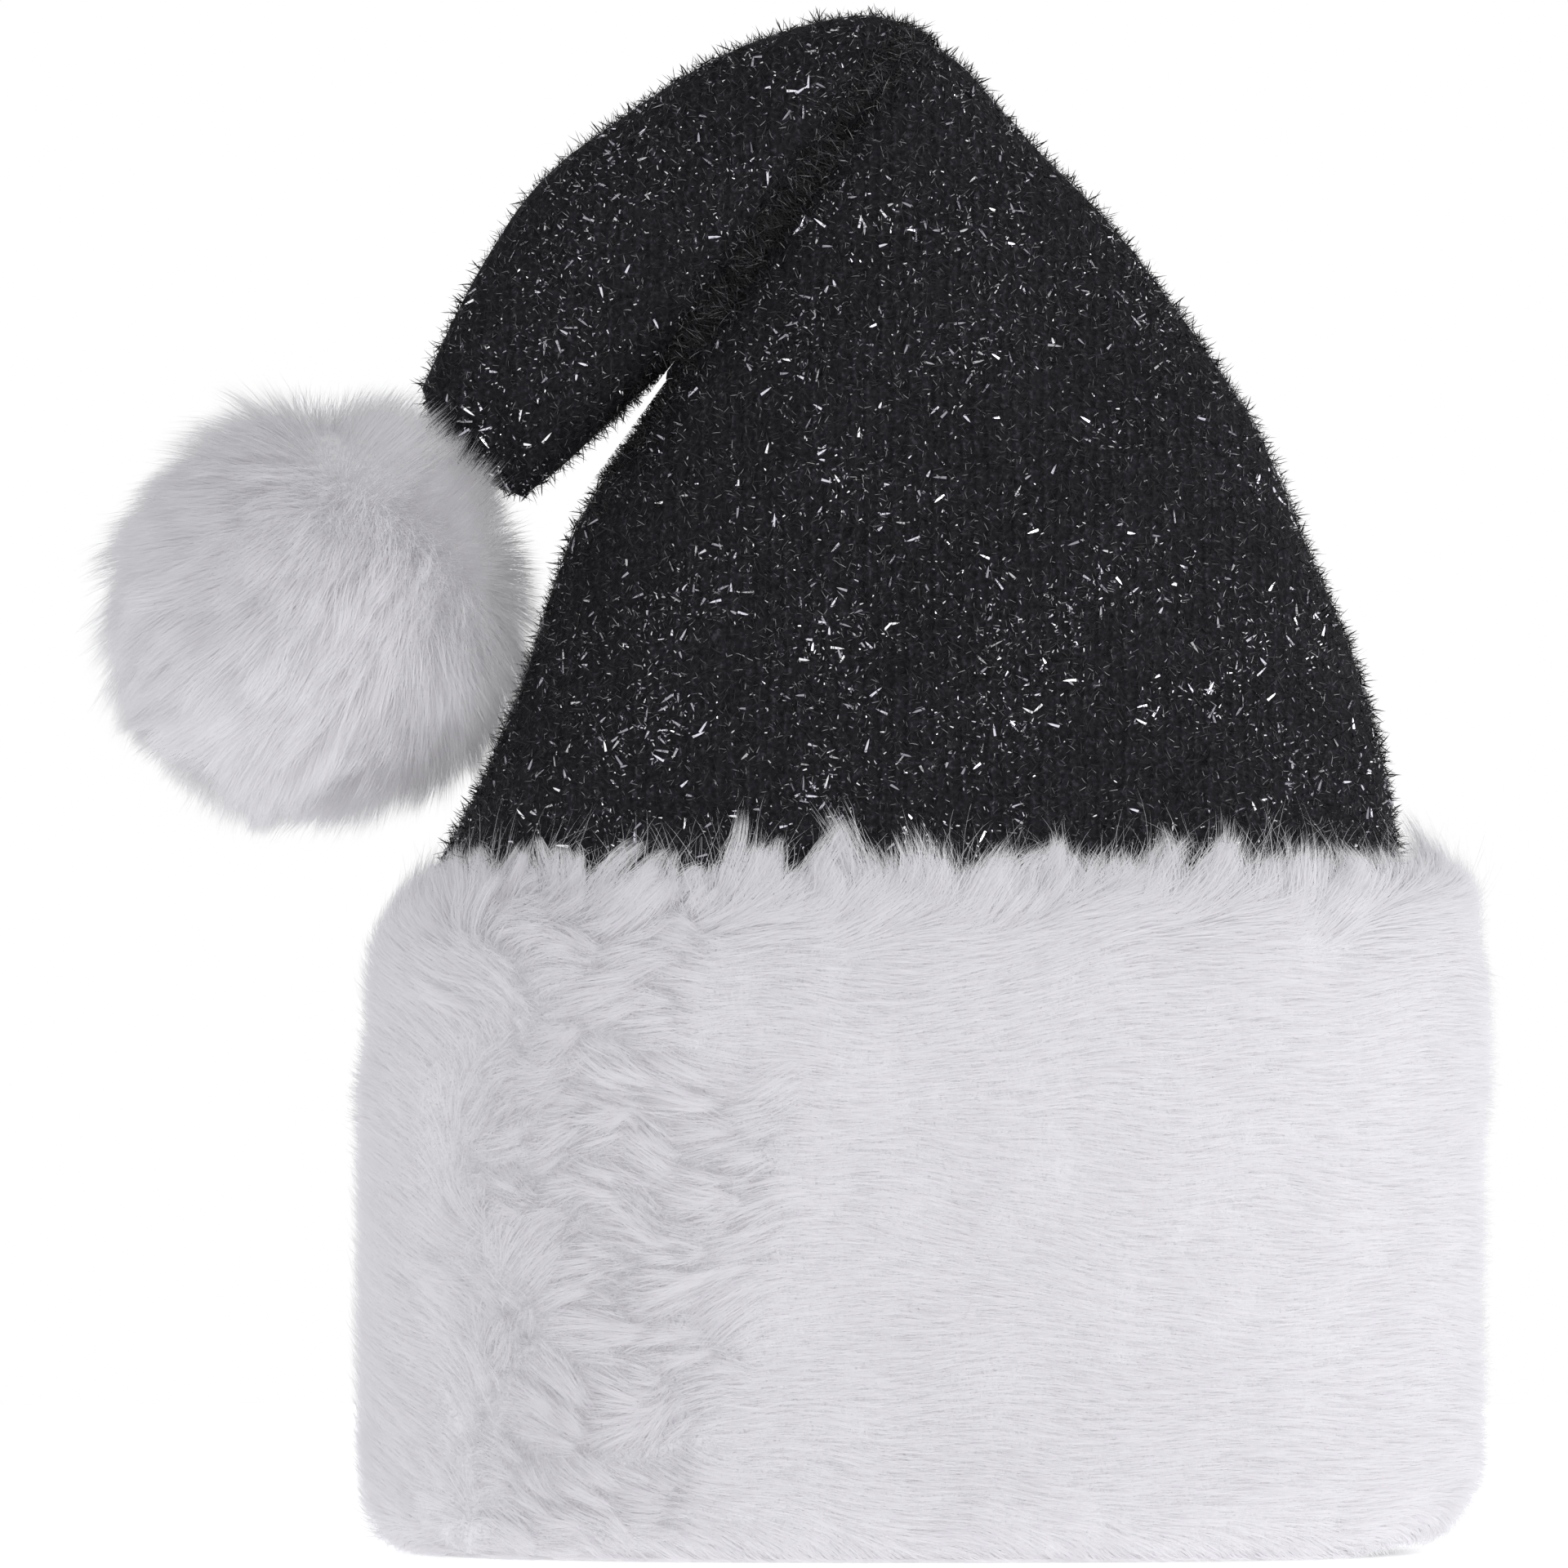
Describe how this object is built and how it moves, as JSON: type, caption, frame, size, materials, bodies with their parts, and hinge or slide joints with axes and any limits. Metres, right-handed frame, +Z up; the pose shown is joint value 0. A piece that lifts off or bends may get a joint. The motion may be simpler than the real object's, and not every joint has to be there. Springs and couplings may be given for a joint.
{
  "type": "party stocking hat",
  "caption": "Soft knitted stocking hat with a folded-over tail, a deep fur cuff and a fur pom-pom hung from the tip.",
  "frame": {"origin": "on the plane the cuff stands on, under the middle of the whole hat, pom-pom included; the middle of the head opening is 28.0 mm to its +X side", "axes": "+Z up, from the cuff's bottom edge to the fold at the top; front towards -Y; the folded tail and the pom-pom hang on the -X side"},
  "size_m": [0.331, 0.1762, 0.3755],
  "materials": {
    "tinsel_knit": "matt black knit with short silver tinsel fibres",
    "white_fur": "long soft white pile, combed",
    "fur_backing": "flat knitted ground fabric of the fur",
    "black_lining": "fine smooth jersey",
    "black_thread": "twisted sewing thread",
    "white_thread": "twisted sewing thread",
    "fibre_filling": "loose white polyester fibre",
    "label_satin": "blank woven satin tape"
  },
  "bodies": {
    "hat_body": {"crown_front_panel": "tinsel_knit", "crown_back_panel": "tinsel_knit", "crown_right_seam": "black_thread", "crown_left_seam": "black_thread", "crown_lining": "black_lining", "cuff_pile": "white_fur", "cuff_ground_fabric": "fur_backing", "cuff_back_seam": "white_thread", "brim_seam_thread": "white_thread", "inner_band": "black_lining"},
    "label": {"care_label": "label_satin"},
    "tail": {"tail_front_panel": "tinsel_knit", "tail_back_panel": "tinsel_knit", "tail_outer_seam": "black_thread", "tail_inner_seam": "black_thread", "tip_gathering_thread": "black_thread"},
    "loop": {"hanging_loop": "white_thread"},
    "shank": {"thread_shank": "white_thread"},
    "pompom": {"pompom_pile": "white_fur", "pompom_skin": "fur_backing", "pompom_filling": "fibre_filling", "pompom_mouth_thread": "white_thread"}
  },
  "joints": [
    {"name": "tip_fold", "type": "hinge", "parent": "hat_body", "child": "tail", "pos_m": [0.03057, 0, 0.3748], "axis": [0, 1, 0], "range_deg": [0, 80]},
    {"name": "pompom_swing", "type": "hinge", "parent": "tail", "child": "loop", "pos_m": [-0.08941, 0, 0.26407], "axis": [0, 1, 0], "range_deg": [0, 45]},
    {"name": "pompom_sway", "type": "hinge", "parent": "loop", "child": "shank", "pos_m": [-0.09195, 0, 0.26138], "axis": [0.729, 0, -0.6845], "range_deg": [-25, 25]},
    {"name": "pompom_twist", "type": "hinge", "parent": "shank", "child": "pompom", "pos_m": [-0.11953, 0, 0.232], "axis": [0.6845, 0, 0.729], "range_deg": [-60, 60], "stiffness_Nm_per_rad": 0.0005},
    {"name": "label_flip", "type": "hinge", "parent": "hat_body", "child": "label", "pos_m": [0.02797, 0.0596, 0.05], "axis": [-1, 0, 0], "range_deg": [0, 150]}
  ]
}
